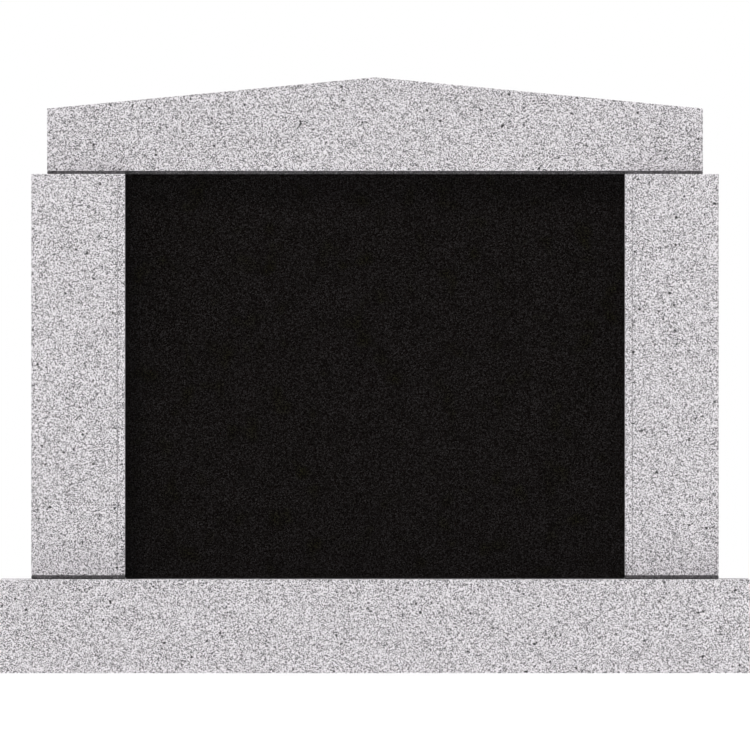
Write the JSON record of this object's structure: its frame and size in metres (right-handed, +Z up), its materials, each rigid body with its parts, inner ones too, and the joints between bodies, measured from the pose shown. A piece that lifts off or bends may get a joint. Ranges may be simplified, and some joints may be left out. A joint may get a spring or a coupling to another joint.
{
  "type": "granite memorial monument",
  "caption": "Upright memorial with a black stone tablet held between grey granite posts on a wide base, under a low gabled capstone.",
  "frame": {"origin": "on the ground, under the middle of the base", "axes": "+X to the right along the memorial as seen from the front, +Y to the back, +Z up; the front faces -Y"},
  "size_m": [2.4384, 0.6096, 1.9375],
  "materials": {
    "grey_granite": "satin",
    "black_granite": "polished",
    "dark_mortar": "matte",
    "dark_sealant": "matte",
    "steel": "satin"
  },
  "bodies": {
    "root": {"base": "grey_granite", "left_post": "grey_granite", "right_post": "grey_granite", "tablet": "black_granite", "cap": "grey_granite", "left_post_bed": "dark_mortar", "right_post_bed": "dark_mortar", "tablet_bed": "dark_mortar", "cap_bed": "dark_mortar", "left_tablet_seal": "dark_sealant", "right_tablet_seal": "dark_sealant", "left_post_front_dowel": "steel", "left_post_back_dowel": "steel", "left_cap_front_dowel": "steel", "left_cap_back_dowel": "steel", "left_tablet_dowel": "steel", "right_post_front_dowel": "steel", "right_post_back_dowel": "steel", "right_cap_front_dowel": "steel", "right_cap_back_dowel": "steel", "right_tablet_dowel": "steel"}
  },
  "joints": []
}
